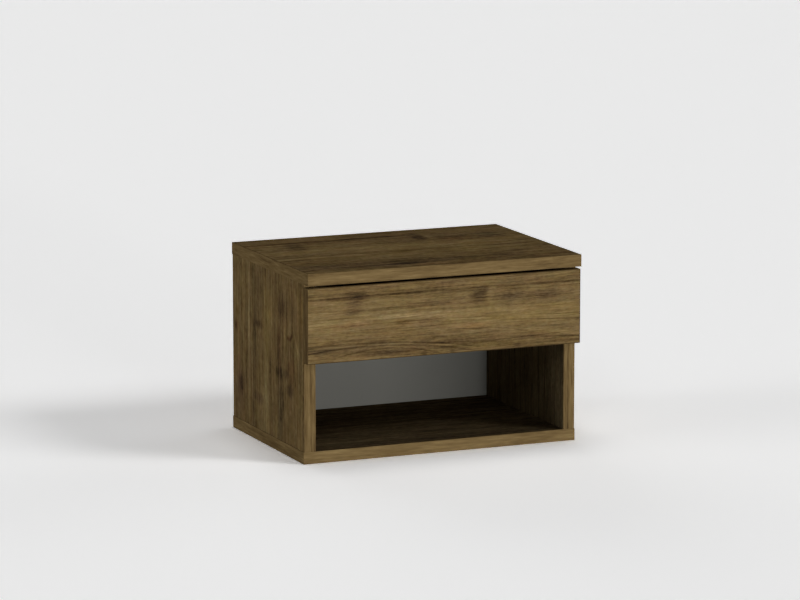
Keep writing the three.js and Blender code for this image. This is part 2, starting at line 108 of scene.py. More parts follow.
# wanted takes an edge's two ends
def selectEdges(piece, wanted):
    edit(piece, "EDGE")
    leaveEdit()
    points = piece.data.vertices
    for edge in piece.data.edges:
        edge.select = wanted(*[points[i].co for i in edge.vertices])
    bpy.ops.object.mode_set(mode="EDIT")


# wanted takes a face's centre and normal
def selectFaces(piece, wanted):
    edit(piece, "FACE")
    leaveEdit()
    for face in piece.data.polygons:
        face.select = wanted(face.center, face.normal)
    bpy.ops.object.mode_set(mode="EDIT")


# Writes the active piece's place, turn and size into its mesh
def settle():
    bpy.ops.object.transform_apply(location=True, rotation=True, scale=True)
    return bpy.context.active_object


def extrude(move):
    bpy.ops.mesh.extrude_region_move(TRANSFORM_OT_translate={"value": move})


# Scales what is selected about the Z axis at height
def shrink(share, height):
    bpy.ops.transform.resize(value=(share, share, 1), center_override=(0, 0, height))


# Turns all faces outwards and ends the editing
def closeUp():
    bpy.ops.mesh.select_all(action="SELECT")
    bpy.ops.mesh.normals_make_consistent(inside=False)
    leaveEdit()


# A colour as a paint program gives it, 0 to 255, turned into Blender's linear values
def srgb(red, green, blue):
    values = [part / 255 for part in (red, green, blue)]
    return tuple(v / 12.92 if v <= 0.04045 else ((v + 0.055) / 1.055) ** 2.4 for v in values) + (1.0,)


def newMaterial(name):
    material = bpy.data.materials.new(name)
    material.use_nodes = True
    return material, material.node_tree, material.node_tree.nodes["Principled BSDF"]


def plug(tree, value, socket):
    if isinstance(value, bpy.types.NodeSocket):
        tree.links.new(value, socket)
    else:
        socket.default_value = value


def addNode(tree, kind, *values, **settings):
    made = tree.nodes.new("ShaderNode" + kind)
    for name, setting in settings.items():
        setattr(made, name, setting)
    for value, socket in zip(values, made.inputs):
        plug(tree, value, socket)
    return made


def calc(tree, operation, *values, clamp=False):
    return addNode(tree, "Math", *values, operation=operation, use_clamp=clamp).outputs[0]


def weighed(tree, value, weight):
    return calc(tree, "MULTIPLY", value, weight)


# Value times factor, plus start
def scaled(tree, value, factor, start, clamp=False):
    return calc(tree, "MULTIPLY_ADD", value, factor, start, clamp=clamp)


def total(tree, parts):
    result = parts[0]
    for part in parts[1:]:
        result = calc(tree, "ADD", result, part)
    return result


# A smooth step from start to end while value goes from low to high
def rise(tree, value, low, high, start=0.0, end=1.0):
    made = addNode(tree, "MapRange", value, low, high, start, end, interpolation_type="SMOOTHSTEP")
    return made.outputs[0]


def blendColours(tree, amount, first, second, way="MIX"):
    made = addNode(tree, "Mix", data_type="RGBA", blend_type=way)
    plug(tree, amount, made.inputs["Factor"])
    plug(tree, first, made.inputs["A"])
    plug(tree, second, made.inputs["B"])
    return made.outputs["Result"]


def ramp(tree, value, stops):
    made = addNode(tree, "ValToRGB", value)
    elements = made.color_ramp.elements
    while len(elements) < len(stops):
        elements.new(0.5)
    for element, (place, colour) in zip(elements, stops):
        element.position = place
        element.color = colour
    return made.outputs["Color"]


# Object coordinates in mm from centre, turned so that the grain runs along the first of them
def placeInMm(tree, order, centre=(0, 0, 0)):
    coordinates = addNode(tree, "TexCoord").outputs["Object"]
    scale = 1 / mm
    mapped = addNode(tree, "Mapping", coordinates, [-part * scale for part in centre], (0, 0, 0), (scale,) * 3)
    parts = addNode(tree, "SeparateXYZ", mapped.outputs[0]).outputs
    return [parts[axis] for axis in order]


def joinPlace(tree, along, across, depth):
    return addNode(tree, "CombineXYZ", along, across, depth).outputs[0]


# Noise between about -1 and 1 whose patches are length by width, in mm
def stretchedNoise(tree, spot, length, width, seed, detail=2.0):
    scales = (1 / length, 1 / width, 1 / width)
    moved = addNode(tree, "VectorMath", spot, scales, (seed, seed * 1.7, seed * 2.3), operation="MULTIPLY_ADD")
    made = addNode(tree, "TexNoise", moved.outputs[0])
    made.inputs["Scale"].default_value = 1.0
    made.inputs["Detail"].default_value = detail
    made.inputs["Roughness"].default_value = 0.5
    return scaled(tree, made.outputs["Fac"], 2.0, -1.0)


# Layers of noise, each given as (length, width, step of the seed, detail, weight)
def layered(tree, spot, seed, layers):
    return [
        weighed(tree, stretchedNoise(tree, spot, length, width, seed + step, detail), weight)
        for length, width, step, detail, weight in layers
    ]


# Joins a finish to the shader. Relief is (height, strength, distance in mm)
def finishShader(tree, shader, colour, roughness, relief=None, shine=0.5):
    plug(tree, colour, shader.inputs["Base Color"])
    plug(tree, roughness, shader.inputs["Roughness"])
    shader.inputs["Specular IOR Level"].default_value = shine
    if relief:
        height, strength, distance = relief
        bump = addNode(tree, "Bump")
        bump.inputs["Strength"].default_value = strength
        bump.inputs["Distance"].default_value = distance * mm
        plug(tree, height, bump.inputs["Height"])
        plug(tree, bump.outputs[0], shader.inputs["Normal"])


# A patch of the print: its middle and half lengths in mm, and how much darker, redder or bluer it is
def blot(x, y, length, width, tone, turn=0.0, red=0.0, blue=0.0):
    return {"at": (x, y, 0), "size": (length, width, 1), "tone": tone, "turn": turn, "red": red, "blue": blue}


# 1 in the middle of the patch and 0 from its rim on
def softSpot(tree, flat, patch):
    turn = (0, 0, math.radians(patch["turn"]))
    moved = addNode(tree, "Mapping", flat, patch["at"], turn, patch["size"], vector_type="TEXTURE")
    made = addNode(tree, "TexGradient", moved.outputs[0], gradient_type="SPHERICAL")
    return rise(tree, made.outputs["Fac"], 0.0, 0.85)


# A darker or lighter line of the grain, in mm: at height where along is peak, and bent or sloping from there
def streak(height, width, tone, start, end, peak=0, bend=0.0, slope=0.0, fade=40, whole=False):
    return {
        "height": height, "width": width, "tone": tone, "start": start, "end": end,
        "peak": peak, "bend": bend, "slope": slope, "fade": fade, "whole": whole,
    }


def grainLine(tree, along, across, line):
    offset = calc(tree, "SUBTRACT", along, line["peak"])
    square = weighed(tree, offset, offset)
    middle = scaled(tree, square, -line["bend"], line["height"])
    middle = scaled(tree, offset, line["slope"], middle)
    distance = calc(tree, "ABSOLUTE", calc(tree, "SUBTRACT", across, middle))
    band = rise(tree, distance, 0.0, line["width"], line["tone"], 0.0)
    start = rise(tree, along, line["start"] - line["fade"], line["start"])
    end = rise(tree, along, line["end"], line["end"] + line["fade"], 1.0, 0.0)
    return weighed(tree, band, weighed(tree, start, end))


# Walnut decor. Tones run from 0, darkest, to 1, lightest, and the plain tone is about 0.5.
# The layers are (length, width, step of the seed, detail, weight), in mm
walnut = {
    "stops": [
        (0.0, srgb(46, 36, 24)), (0.2, srgb(76, 60, 38)), (0.38, srgb(100, 81, 52)), (0.5, srgb(114, 94, 61)),
        (0.64, srgb(128, 107, 71)), (0.8, srgb(144, 123, 83)), (1.0, srgb(166, 146, 104)),
    ],
    "plain": 0.53,
    "roughness": 0.65,
    "shine": 0.0,
    "grain": [(260, 18, 11, 1, 0.12), (80, 5.5, 17, 2, 0.18), (34, 2.4, 23, 2, 0.25), (8, 0.9, 29, 2, 0.25)],
    "mottle": [(7, 6, 31, 2, 0.12)],
    "redDrift": [(45, 9, 43, 2, 0.09), (9, 3, 47, 2, 0.1)],
    "blueDrift": [(50, 10, 53, 2, 0.16), (10, 3, 59, 2, 0.16)],
    "bandGrain": [(75, 9, 5, 2, 0.2), (40, 3.4, 7, 2, 0.26), (16, 1.4, 9, 2, 0.2)],
}


# The decor of one board: which way its grain runs, the seed of its noise, its marks, and what else sets it apart
def boardLook(order, centre, seed, **more):
    plain = {
        "facing": 1, "stretch": 1.0, "raggedness": 9.0, "blotches": 0.06, "lift": 0.0, "red": 1.0, "blue": 1.0,
        "zones": [], "lines": [], "smudges": [], "joints": [],
    }
    return {"order": order, "centre": centre, "seed": seed, **plain, **more}


# Printed walnut for one face of a board, with its own grain, lines, knots and smudges
def walnutDecor(name, look):
    material, tree, shader = newMaterial(name)
    along, across, depth = placeInMm(tree, look["order"], look["centre"])
    seed, stretch = look["seed"], look["stretch"]
    squeezed = calc(tree, "DIVIDE", across, stretch)
    spot = joinPlace(tree, along, squeezed, depth)

    # The grain wanders slowly, and the drawn lines follow it a little
    slow = stretchedNoise(tree, spot, 190, 60, seed, 1.0)
    quick = stretchedNoise(tree, spot, 34, 9, seed + 3)
    bent = total(tree, [squeezed, weighed(tree, slow, 4.0), weighed(tree, quick, 0.9)])
    grain = joinPlace(tree, along, bent, depth)
    lineAcross = total(tree, [across, weighed(tree, slow, 1.2 * stretch), weighed(tree, quick, 0.8 * stretch)])

    # Knots and smudges end in a ragged way, each line of the grain by itself
    ragged = stretchedNoise(tree, grain, 24, 1.3, seed + 7)
    torn = joinPlace(tree, scaled(tree, ragged, look["raggedness"], along), lineAcross, 0.0)
    even = joinPlace(tree, along, lineAcross, 0.0)
    mottle = [*walnut["mottle"], (18, 13, 35, 2, look["blotches"])]
    tones = layered(tree, grain, seed, walnut["grain"]) + layered(tree, spot, seed, mottle)

    # Fine dark growth lines, where a slow field passes through zero
    field = calc(tree, "ABSOLUTE", stretchedNoise(tree, grain, 420, 7, seed + 33, 1.0))
    tones.append(rise(tree, field, 0.0, 0.12, -0.12, 0.0))

    broken = scaled(tree, ragged, 0.8, 0.85)
    streaky = scaled(tree, stretchedNoise(tree, grain, 30, 1.9, seed + 37), 1.3, 0.95)
    marks, reds, blues = [], [], []
    for line in look["lines"]:
        drawn = grainLine(tree, along, lineAcross, line)
        marks.append(drawn if line["whole"] else weighed(tree, drawn, broken))
    for kind, flat in (("zones", even), ("smudges", torn)):
        for patch in look[kind]:
            mask = softSpot(tree, flat, patch)
            printed = mask if kind == "zones" else weighed(tree, mask, streaky)
            marks.append(weighed(tree, printed, patch["tone"]))
            for tint, found in (("red", reds), ("blue", blues)):
                if patch[tint]:
                    found.append(weighed(tree, mask, patch[tint]))
    # Lines and knots are placed for one side of the board only
    if marks:
        onFace = rise(tree, weighed(tree, depth, look["facing"]), -0.5, 0.5)
        tones.append(weighed(tree, total(tree, marks), onFace))

    pores = rise(tree, stretchedNoise(tree, grain, 9, 0.42, seed + 41, 0.0), 0.3, 0.62)
    tones.append(weighed(tree, pores, -0.12))
    tone = calc(tree, "ADD", total(tree, tones), walnut["plain"] + look["lift"], clamp=True)

    # The print drifts a little towards red and towards blue from place to place
    red = total(tree, [*layered(tree, spot, seed, walnut["redDrift"]), *reds, look["red"]])
    blue = total(tree, [*layered(tree, spot, seed, walnut["blueDrift"]), *blues, look["blue"]])
    tint = addNode(tree, "CombineColor", red, 1.0, blue).outputs[0]
    colour = blendColours(tree, 1.0, ramp(tree, tone, walnut["stops"]), tint, "MULTIPLY")
    for joint in look["joints"]:
        edge = addNode(tree, "SeparateXYZ", addNode(tree, "TexCoord").outputs["Object"]).outputs[joint["axis"]]
        reach = calc(tree, "ABSOLUTE", edge) if joint["both"] else weighed(tree, edge, -1)
        dark = rise(tree, reach, joint["at"] - joint["width"], joint["at"], 0.0, joint["depth"])
        colour = blendColours(tree, dark, colour, walnut["stops"][0][1])

    dull = scaled(tree, tone, -0.1, walnut["roughness"])
    height = scaled(tree, pores, -0.7, weighed(tree, tone, 0.5))
    roughness = scaled(tree, pores, 0.12, dull)
    finishShader(tree, shader, colour, roughness, (height, 0.35, 0.12), walnut["shine"])
    return material


# Plastic edge band: the same walnut, with short quiet lines along its length. Stripes run all along it
def edgeBand(name, order, seed, lift=0.03, stripes=()):
    material, tree, shader = newMaterial(name)
    along, across, depth = placeInMm(tree, order)
    spot = joinPlace(tree, along, across, depth)
    wander = weighed(tree, stretchedNoise(tree, spot, 120, 30, seed, 1.0), 1.6)
    grain = joinPlace(tree, along, calc(tree, "ADD", across, wander), depth)
    tones = layered(tree, grain, seed, walnut["bandGrain"])
    pores = rise(tree, stretchedNoise(tree, grain, 8, 0.4, seed + 13, 0.0), 0.35, 0.65)
    tones.append(weighed(tree, pores, -0.1))
    for stripe in stripes:
        offset = calc(tree, "SUBTRACT", calc(tree, "ABSOLUTE", across), stripe["at"])
        tones.append(rise(tree, calc(tree, "ABSOLUTE", offset), 0.0, stripe["width"], stripe["tone"], 0.0))
    tone = calc(tree, "ADD", total(tree, tones), 0.5 + lift, clamp=True)
    roughness = scaled(tree, tone, -0.1, 0.52)
    finishShader(tree, shader, ramp(tree, tone, walnut["stops"]), roughness, (tone, 0.25, 0.1), walnut["shine"])
    return material


# The narrow cut edge of a band, scraped flush with the board: darker plastic with fine scrape marks
def bandCore(name):
    material, tree, shader = newMaterial(name)
    fine = stretchedNoise(tree, joinPlace(tree, *placeInMm(tree, "XYZ")), 3, 3, 4.0, 3.0)
    tone = scaled(tree, fine, 0.25, 0.5)
    colour = ramp(tree, tone, [(0.0, srgb(52, 41, 26)), (1.0, srgb(84, 68, 44))])
    finishShader(tree, shader, colour, scaled(tree, fine, 0.1, 0.5), shine=walnut["shine"])
    return material


# Sawn edge of the board: pressed flakes and the crumbs between them
def chipboard(name):
    material, tree, shader = newMaterial(name)
    spot = joinPlace(tree, *placeInMm(tree, "XYZ"))
    flakes, crumbs = [addNode(tree, "TexVoronoi", spot) for _ in range(2)]
    flakes.inputs["Scale"].default_value = 0.55
    crumbs.inputs["Scale"].default_value = 1.6
    shade = addNode(tree, "SeparateXYZ", flakes.outputs["Color"]).outputs[0]
    crumb = addNode(tree, "SeparateXYZ", crumbs.outputs["Color"]).outputs[1]
    mixed = scaled(tree, shade, 0.6, weighed(tree, crumb, 0.4))
    colour = ramp(tree, mixed, [
        (0.0, srgb(96, 72, 46)), (0.3, srgb(148, 120, 84)), (0.7, srgb(180, 154, 114)), (1.0, srgb(204, 180, 140))
    ])
    finishShader(tree, shader, colour, scaled(tree, crumb, 0.15, 0.75), (mixed, 0.6, 0.3), 0.2)
    return material


# Thin pressed board: lacquered grey on the side that shows, bare brown fibres behind
def hardboard(name, pale, dark, fibres):
    material, tree, shader = newMaterial(name)
    spot = joinPlace(tree, *placeInMm(tree, "XYZ"))
    speck = stretchedNoise(tree, spot, 1.1, 1.1, 5.0)
    parts = layered(tree, spot, 0.0, [(60, 60, 2, 3, 0.2), (7, 0.8, 9, 2, fibres)])
    tone = calc(tree, "ADD", total(tree, [*parts, weighed(tree, speck, 0.12)]), 0.5, clamp=True)
    roughness = scaled(tree, speck, 0.08, 0.55)
    finishShader(tree, shader, ramp(tree, tone, [(0.0, dark), (1.0, pale)]), roughness, (speck, 0.3, 0.1), 0.2)
    return material


# Drawer box board: light grey with a fine pressed texture
def paleMelamine(name):
    material, tree, shader = newMaterial(name)
    spot = joinPlace(tree, *placeInMm(tree, "YZX"))
    grainy = stretchedNoise(tree, spot, 1.3, 0.7, 1.0, 3.0)
    cloud = stretchedNoise(tree, spot, 90, 30, 6.0)
    tone = total(tree, [weighed(tree, grainy, 0.2), weighed(tree, cloud, 0.22)])
    tone = calc(tree, "ADD", tone, 0.5, clamp=True)
    colour = ramp(tree, tone, [(0.0, srgb(188, 186, 179)), (1.0, srgb(208, 206, 200))])
    finishShader(tree, shader, colour, scaled(tree, grainy, 0.08, 0.48), (grainy, 0.3, 0.08), 0.35)
    return material


# Plated or cast metal: faint clouds, rubbed lines along the depth of the cabinet, and pits where cast
def metal(name, pale, dark, roughness, rub, pits=0.0):
    material, tree, shader = newMaterial(name)
    spot = joinPlace(tree, *placeInMm(tree, "YXZ"))
    cloud = stretchedNoise(tree, spot, 9, 6, 3.0, 3.0)
    relief = total(tree, layered(tree, spot, 0.0, [(30, 0.35, 8, 2, rub), (0.5, 0.5, 12, 2, pits)]))
    tone = calc(tree, "ADD", weighed(tree, cloud, 0.4), relief)
    tone = calc(tree, "ADD", tone, 0.5, clamp=True)
    rough = scaled(tree, cloud, 0.1, roughness)
    finishShader(tree, shader, ramp(tree, tone, [(0.0, dark), (1.0, pale)]), rough, (relief, 0.25, 0.05))
    shader.inputs["Metallic"].default_value = 1.0
    return material


def mouldedPlastic(name):
    material, tree, shader = newMaterial(name)
    spot = joinPlace(tree, *placeInMm(tree, "XYZ"))
    grain = stretchedNoise(tree, spot, 0.4, 0.4, 2.0)
    wear = stretchedNoise(tree, spot, 6, 6, 7.0, 3.0)
    tone = scaled(tree, wear, 0.3, 0.5, clamp=True)
    colour = ramp(tree, tone, [(0.0, srgb(22, 22, 23)), (1.0, srgb(38, 38, 40))])
    finishShader(tree, shader, colour, scaled(tree, grain, 0.08, 0.42), (grain, 0.3, 0.05))
    return material


def middleOf(node):
    low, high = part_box(node)
    return tuple((low + high) / 2)


# The face that is gripped and pulled. Along is from left to right, across is up, both from the face's middle
frontMiddle = (0, middleOf("drawer_front")[1], 206 * mm)
drawerFrontLook = boardLook(
    "XZY", frontMiddle, 2.0, facing=-1,
    zones=[
        blot(-90, 37, 140, 8, -0.13), blot(0, 46, 110, 6, 0.08), blot(-195, -4, 60, 12, 0.12),
        blot(-180, -24, 50, 8, 0.09), blot(185, 31, 45, 10, -0.1), blot(195, 5, 40, 10, 0.07),
        blot(110, -19, 70, 5, -0.06), blot(-90, 4, 330, 15, 0.11), blot(10, 5, 70, 9, 0.03),
        blot(-85, 9, 60, 11, 0.12), blot(45, 15, 80, 5, -0.08), blot(-40, -25, 40, 7, -0.08),
        blot(62, -30, 40, 8, -0.1), blot(172, -35, 50, 6, 0.09), blot(150, -4, 190, 20, 0.06, blue=-0.08),
        blot(110, -27, 140, 8, 0.13), blot(0, -14, 500, 13, 0.1), blot(-190, 2, 70, 10, 0.04, red=-0.02),
        blot(130, 24, 130, 12, -0.08, blue=0.05), blot(-110, -37, 260, 10, -0.12, blue=0.06),
        blot(40, -37, 110, 8, -0.12), blot(-98, -46.5, 62, 6.5, -0.17, blue=0.08), blot(-180, -50, 60, 5, 0.03),
        blot(70, -46, 90, 7, -0.06, blue=-0.08),
    ],
    lines=[
        streak(39.2, 2.9, -0.24, -217, 217, peak=30, bend=4e-5, whole=True),
        streak(43.9, 1.7, -0.06, -217, 217, whole=True), streak(18.5, 1.6, -0.06, -120, 20),
        streak(-6.2, 1.7, 0.15, 92, 217, peak=140, slope=-0.015, fade=15),
        streak(-6, 1.7, 0.15, 8, 66, peak=20, slope=-0.03, fade=10), streak(-5, 1.6, 0.16, -62, -44, fade=8),
        streak(-10.5, 1.6, -0.1, -20, 217, peak=60, slope=-0.045),
        streak(-11.5, 2.2, -0.18, -217, -20, peak=-120, bend=0.0001),
        streak(-16.5, 1.6, -0.14, -60, 75, peak=-60, bend=0.0005, fade=20),
        streak(-20.5, 2.2, -0.16, 10, 120, peak=20, bend=0.0009, fade=20),
        streak(-22.5, 2, 0.2, 62, 105, peak=30, bend=0.0009, fade=12),
        streak(-30.4, 2.2, -0.2, -217, 30, peak=-150, bend=0.00043),
        streak(-33.4, 1.5, 0.12, -217, 40, peak=-150, bend=0.00038),
        streak(-36.2, 2, -0.2, -217, 30, peak=-85, bend=0.00064, slope=-0.048),
        streak(-39.2, 1.4, 0.06, -170, 10, peak=-85, bend=0.0009, slope=-0.045),
        streak(-40.8, 2, -0.22, -165, -15, peak=-85, bend=0.0016, slope=-0.04, fade=15),
        streak(-33.5, 2, -0.08, 100, 217, peak=110, bend=0.0011),
        streak(-30, 1.7, 0.12, 105, 190, peak=120, bend=0.0011, fade=15),
        streak(-40.5, 2.2, -0.16, 120, 217, peak=150, slope=-0.07),
    ],
    smudges=[
        blot(-142, 41, 26, 14, -0.15, blue=0.04), blot(-144, 26, 17, 15, -0.17, blue=0.05),
        blot(-146, 15, 28, 9, -0.1, blue=0.04), blot(53, 27, 22, 18, -0.24, blue=0.04), blot(60, 35, 13, 8, -0.1),
        blot(96, 18, 22, 9, -0.08), blot(71, 24, 8, 18, 0.14), blot(108, 25, 34, 12, -0.08, blue=0.04),
        blot(158, 23, 34, 12, -0.08, blue=0.04), blot(-12, 20, 30, 7, -0.12, blue=0.04), blot(-130, 11, 18, 8, 0.06),
        blot(-67, -4, 20, 9, -0.14, red=0.04, blue=-0.06), blot(-22, -4, 26, 8, -0.1, red=0.03),
        blot(-152, -3, 60, 5, -0.03, red=0.06), blot(45, -16, 60, 6, 0, red=0.07),
        blot(130, -41, 42, 7, -0.12, blue=0.05), blot(-34, -52, 7, 6, -0.24), blot(13, -53, 7, 6, -0.24),
        blot(117, -52, 10, 5, -0.22, blue=0.1),
    ],
)

# The top shows the same decor from wider grain. Along is to the right, across is towards the wall.
# Its joints with the bands show as dark lines, at both ends of an axis or at its low end only
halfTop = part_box("top_edge_band")[1].x
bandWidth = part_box("top_panel")[0].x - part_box("top_edge_band")[0].x
topLook = boardLook(
    # The top's tone is lowered a little as painted shade
    "XYZ", middleOf("top_panel"), 5.0, lift=-0.05, stretch=2.4, raggedness=11.0,
    joints=[
        {"axis": "X", "both": True, "at": halfTop - bandWidth, "width": 1.1 * mm, "depth": 0.75},
        {"axis": "Y", "both": False, "at": -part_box("top_panel")[0].y, "width": 0.8 * mm, "depth": 0.4},
    ],
    zones=[
        blot(0, 12, 330, 46, 0.1, blue=-0.03), blot(0, -45, 330, 36, 0.06, blue=-0.04),
        blot(-110, 104, 170, 15, -0.2, red=0.03), blot(100, 86, 190, 56, -0.05, blue=0.05),
        blot(130, 36, 100, 16, -0.08), blot(-190, 40, 50, 40, 0.08),
        blot(-80, -112, 180, 40, -0.12, red=-0.03, blue=0.1), blot(-60, -145, 190, 12, -0.08),
        blot(60, -108, 120, 26, -0.04), blot(170, -125, 110, 20, -0.06, blue=0.04), blot(140, -80, 90, 22, 0.06),
        blot(-200, -95, 60, 24, -0.05, blue=0.04), blot(-60, 128, 160, 14, -0.04, blue=0.08),
    ],
    lines=[
        streak(106, 7, -0.14, -217, 20), streak(-17, 5, -0.08, -217, -60), streak(-41, 8, -0.18, -217, -80),
        streak(-27, 6, 0.1, -217, -90), streak(-50, 6, -0.1, 60, 217, peak=160, bend=0.0004),
        streak(-96, 6, -0.1, -217, 60, peak=-90, bend=0.0003),
        streak(-124, 8, -0.12, -120, -20, peak=-80, bend=0.0008),
    ],
    smudges=[
        blot(57, 88, 17, 46, -0.27, turn=-6, blue=0.08), blot(74, 84, 10, 34, 0.12),
        blot(-146, 74, 26, 44, -0.2, turn=-10, red=-0.03, blue=0.1), blot(-60, 80, 60, 22, 0.04, red=0.05),
        blot(104, 52, 36, 30, -0.11, red=0.08), blot(166, 68, 36, 34, -0.1, red=-0.05, blue=0.1),
        blot(-14, -22, 24, 15, -0.16, blue=-0.2), blot(-66, -122, 50, 17, -0.12, blue=0.08),
        blot(118, -108, 32, 20, -0.14, blue=0.04), blot(-10, -136, 44, 15, 0.1, red=0.1),
        blot(178, -132, 40, 16, 0.04, red=0.05),
    ],
)

# Outer side. Along is up, across is towards the wall, both from the middle of what the top and the base leave free
sideMiddle = (middleOf("left_side_panel")[0], 0, 133 * mm)
sideLook = boardLook(
    "ZYX", sideMiddle, 8.0, facing=-1, blotches=0.16, raggedness=8.0,
    zones=[
        blot(20, 86, 200, 8.5, 0.2, blue=0.06), blot(30, 105, 150, 9, 0.08),
        blot(0, 65, 300, 10, -0.09, red=-0.03, blue=0.06), blot(90, 47, 90, 20, -0.08, blue=0.1),
        blot(-60, 18, 110, 22, 0.16, red=-0.04), blot(60, 12, 80, 26, 0.1, blue=-0.14),
        blot(-70, -42, 80, 22, -0.13, red=-0.05, blue=0.12), blot(20, -38, 80, 16, -0.1, red=0.04, blue=0.04),
        blot(-10, -84, 50, 26, -0.06, red=0.05), blot(-75, 128, 60, 26, -0.06, red=0.03, blue=0.16),
        blot(60, -108, 90, 12, 0.12), blot(90, -122, 60, 22, 0.06, red=0.04, blue=-0.1), blot(50, -8, 80, 12, 0.1),
        blot(90, -85, 80, 30, -0.06, red=0.03),
    ],
    lines=[
        streak(69, 3.2, -0.06, -133, 133), streak(61.5, 3.4, -0.13, -133, 20), streak(97, 2.6, -0.06, -100, 110),
        streak(80, 2.4, -0.14, -110, 60), streak(74, 2.2, 0.14, -110, 40), streak(118, 2.6, -0.12, -60, 120),
        streak(-31, 3.4, -0.1, -133, -25), streak(-44, 3.8, -0.13, -133, -20), streak(-37, 2.4, 0.12, -120, -30),
        streak(-97, 4, 0.2, 36, 62, peak=50, slope=0.5, fade=10),
        streak(-110, 3.2, 0.2, 6, 34, peak=20, slope=0.2, fade=12),
        streak(-91, 3, -0.14, -10, 110, peak=40, bend=0.0006, slope=0.12),
        streak(-119, 3, -0.05, 0, 120, peak=60, slope=-0.05), streak(29, 2.6, -0.1, -130, 130),
        streak(4, 2.6, -0.12, -130, 20), streak(-11, 3.4, 0.12, -110, -10), streak(-66, 3, 0.1, -120, -40),
        streak(-106, 3, -0.12, -130, 0),
    ],
    smudges=[
        blot(43, 48, 10, 30, -0.26, blue=0.06), blot(27, 137, 13, 12, -0.2, red=0.12, blue=0.1),
        blot(50, 133, 12, 8, -0.1, red=0.06, blue=-0.1), blot(42, -72, 6, 7, -0.3, red=0.12),
        blot(43, -80, 7, 7, -0.3, red=0.12), blot(46, -87, 6, 6, -0.24, red=0.12),
        blot(86, -46, 34, 28, -0.17, turn=14, blue=0.1), blot(64, -62, 12, 12, -0.04, red=0.08, blue=0.06),
        blot(30, -34, 30, 12, -0.08, red=0.02), blot(-58, 120, 26, 26, -0.2, blue=0.1),
        blot(-67, 48, 13, 34, -0.18, blue=0.16), blot(-14, -48, 13, 38, -0.24, red=-0.03, blue=0.08),
        blot(-34, -78, 16, 24, -0.18, red=-0.04, blue=0.1), blot(-20, -28, 20, 10, -0.1, red=-0.06, blue=-0.1),
        blot(0, -86, 34, 12, -0.06, red=0.08), blot(-85, 70, 20, 8, -0.12), blot(60, -76, 50, 8, 0.1),
        blot(-40, 128, 50, 12, 0.04, red=0.06, blue=0.1),
    ],
)
# The same print covers the right side
rightMiddle = (middleOf("right_side_panel")[0], 0, 133 * mm)
rightLook = {**sideLook, "centre": rightMiddle, "seed": 14.0, "facing": 1}
# The shelf's right inner face is printed greyer and bluer: a painted reflection of the grey back panel
shelfWallReflectionTintLook = boardLook("ZYX", rightMiddle, 14.0, red=0.9, blue=1.2)
# The base is printed darker and bluer: painted shade of the open shelf, and a painted reflection of the grey back
# panel
basePaintedShadeLook = boardLook("XYZ", middleOf("base_panel"), 19.0, lift=-0.21, red=0.9, blue=1.2)

# Stripes on the front edges of both sides, in mm from the cabinet's middle: the dark one is painted shade of a fine
# groove, the other a lighter stripe
sideStripesWithGrooveShade = [{"at": 205.3, "width": 2.0, "tone": -0.18}, {"at": 209.3, "width": 2.0, "tone": 0.1}]

materials = {
    "drawerFront": walnutDecor("walnut drawer front", drawerFrontLook),
    "top": walnutDecor("walnut top with painted shade", topLook),
    "leftSide": walnutDecor("walnut left side", sideLook),
    "rightSide": walnutDecor("walnut right side", rightLook),
    "shelfWallReflectionTint": walnutDecor("walnut right side inside with painted reflection tint", shelfWallReflectionTintLook),
    "base": walnutDecor("walnut base with painted shade", basePaintedShadeLook),
    "rail": walnutDecor("walnut rail", boardLook("XZY", middleOf("hanging_rail"), 25.0)),
    "bandAcross": edgeBand("walnut band across", "XZY", 31.0),
    "bandLow": edgeBand("walnut band of the base", "XZY", 33.0, 0.075),
    "bandBack": edgeBand("walnut band front to back", "YZX", 37.0, 0.05),
    "bandUp": edgeBand("walnut band upright", "ZXY", 43.0, -0.01, sideStripesWithGrooveShade),
    # The drawer front's end faces are printed darker: painted shade
    "bandEndPaintedShade": edgeBand("walnut band drawer ends with painted shade", "ZYX", 51.0, -0.11),
    "bandCore": bandCore("band cut edge"),
    "chipboard": chipboard("chipboard edge"),
    "greyFace": hardboard("grey lacquered hardboard", srgb(102, 101, 95), srgb(91, 90, 84), 0.0),
    "brownFace": hardboard("bare hardboard", srgb(150, 118, 82), srgb(112, 84, 56), 0.35),
    "pale": paleMelamine("pale grey melamine"),
    "zinc": metal("bright zinc plate", srgb(184, 186, 189), srgb(146, 150, 155), 0.38, 0.35),
    "castZinc": metal("cast zinc", srgb(176, 178, 181), srgb(134, 136, 140), 0.46, 0.0, 0.4),
    "plastic": mouldedPlastic("black moulded plastic"),
}
print("materials made:", len(materials))


# Pieces taken over from the model: their edges are broken and their faces get their finishes
def takeCopy(node):
    pick(nodes[node])
    bpy.ops.object.duplicate()
    piece = bpy.context.active_object
    piece.parent = None
    piece.matrix_world = Matrix.Identity(4)
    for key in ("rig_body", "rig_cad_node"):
        if key in piece:
            del piece[key]
    piece.data.materials.clear()
    edit(piece, action="SELECT")
    bpy.ops.mesh.remove_doubles(threshold=meshwork["merge"])
    bpy.ops.mesh.dissolve_limited(angle_limit=meshwork["flat"])
    leaveEdit()
    return piece


# Rounds the edges that wanted accepts, or else all the sharp ones. The width is in mm
def breakEdges(piece, width, segments=2, wanted=None):
    if wanted:
        selectEdges(piece, wanted)
    else:
        edit(piece)
        bpy.ops.mesh.edges_select_sharp(sharpness=meshwork["sharp"])
    bpy.ops.mesh.bevel(offset=width * mm, segments=segments, affect="EDGES", clamp_overlap=True)
    leaveEdit()


# choices are (material's name, wanted) pairs; the last one that fits a face wins
def paint(piece, choices):
    for name, _ in choices:
        piece.data.materials.append(materials[name])
    for face in piece.data.polygons:
        for index, (_, wanted) in enumerate(choices):
            if wanted is None or wanted(face.center, face.normal):
                face.material_index = index


